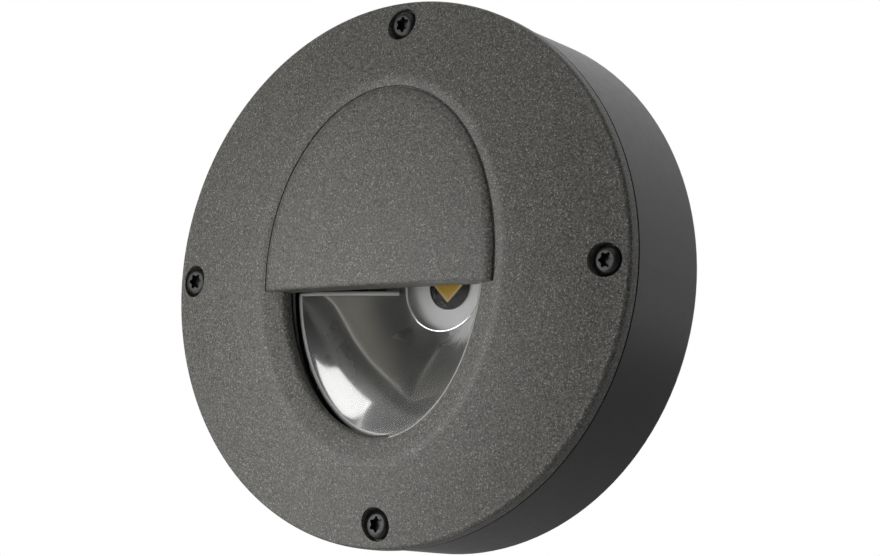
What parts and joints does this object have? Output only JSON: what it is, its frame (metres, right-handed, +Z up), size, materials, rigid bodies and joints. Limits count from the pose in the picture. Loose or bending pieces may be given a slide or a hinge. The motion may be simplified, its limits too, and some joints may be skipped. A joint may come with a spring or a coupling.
{
  "type": "LED wall spotlight",
  "caption": "Round surface-mounted outdoor LED wall light: domed cast cover with an oval ridge and an eyelid hood over a half-oval window, on a shallow round housing.",
  "frame": {"origin": "centre of the housing's flat back face, on the wall plane", "axes": "+Y into the wall, so the light faces -Y; +Z up; +X to the right as seen from the front"},
  "size_m": [0.15, 0.0468, 0.15],
  "materials": {
    "cover_paint": "fine textured powder coat",
    "black_screws": "black coated steel",
    "seal_rubber": "matt",
    "housing_paint": "smooth satin powder coat",
    "clear_glass": "clear toughened glass",
    "sheet_steel": "zinc-plated sheet",
    "zinc_screws": "zinc-plated",
    "reflector_metal": "polished, slightly hazy",
    "board_white": "white solder mask",
    "led_black": "glossy black",
    "phosphor": "yellow phosphor",
    "led_silicone": "clear silicone",
    "pad_grey": "matt",
    "bare_aluminium": "turned",
    "driver_plastic": "moulded",
    "circuit_green": "green solder mask",
    "terminal_plastic": "moulded",
    "brass": "bright brass",
    "tinned_tag": "tinned",
    "grommet_rubber": "matt",
    "lead_brown": "PVC",
    "lead_blue": "PVC",
    "lead_green": "PVC",
    "lead_red": "PVC",
    "lead_black": "PVC"
  },
  "bodies": {
    "root": {"front_cover": "cover_paint", "cover_screws": "black_screws", "cover_gasket": "seal_rubber", "housing": "housing_paint", "window_glass": "clear_glass", "glass_gasket": "seal_rubber", "glass_retainer": "sheet_steel", "retainer_screws": "zinc_screws", "reflector": "reflector_metal", "reflector_screws": "zinc_screws", "led_board": "board_white", "board_screws": "zinc_screws", "led_base": "led_black", "led_chip": "phosphor", "led_cap": "led_silicone", "thermal_pad": "pad_grey", "heat_spreader": "bare_aluminium", "spreader_screws": "zinc_screws", "driver_case": "driver_plastic", "driver_lid": "driver_plastic", "driver_circuit": "circuit_green", "driver_screws": "zinc_screws", "terminal_block": "terminal_plastic", "terminal_clamps": "brass", "terminal_screws": "zinc_screws", "terminal_fixing_screws": "zinc_screws", "earth_tag": "tinned_tag", "earth_screw": "brass", "cable_grommet": "grommet_rubber", "live_lead": "lead_brown", "neutral_lead": "lead_blue", "earth_lead": "lead_green", "led_lead_plus": "lead_red", "led_lead_minus": "lead_black"}
  },
  "joints": []
}
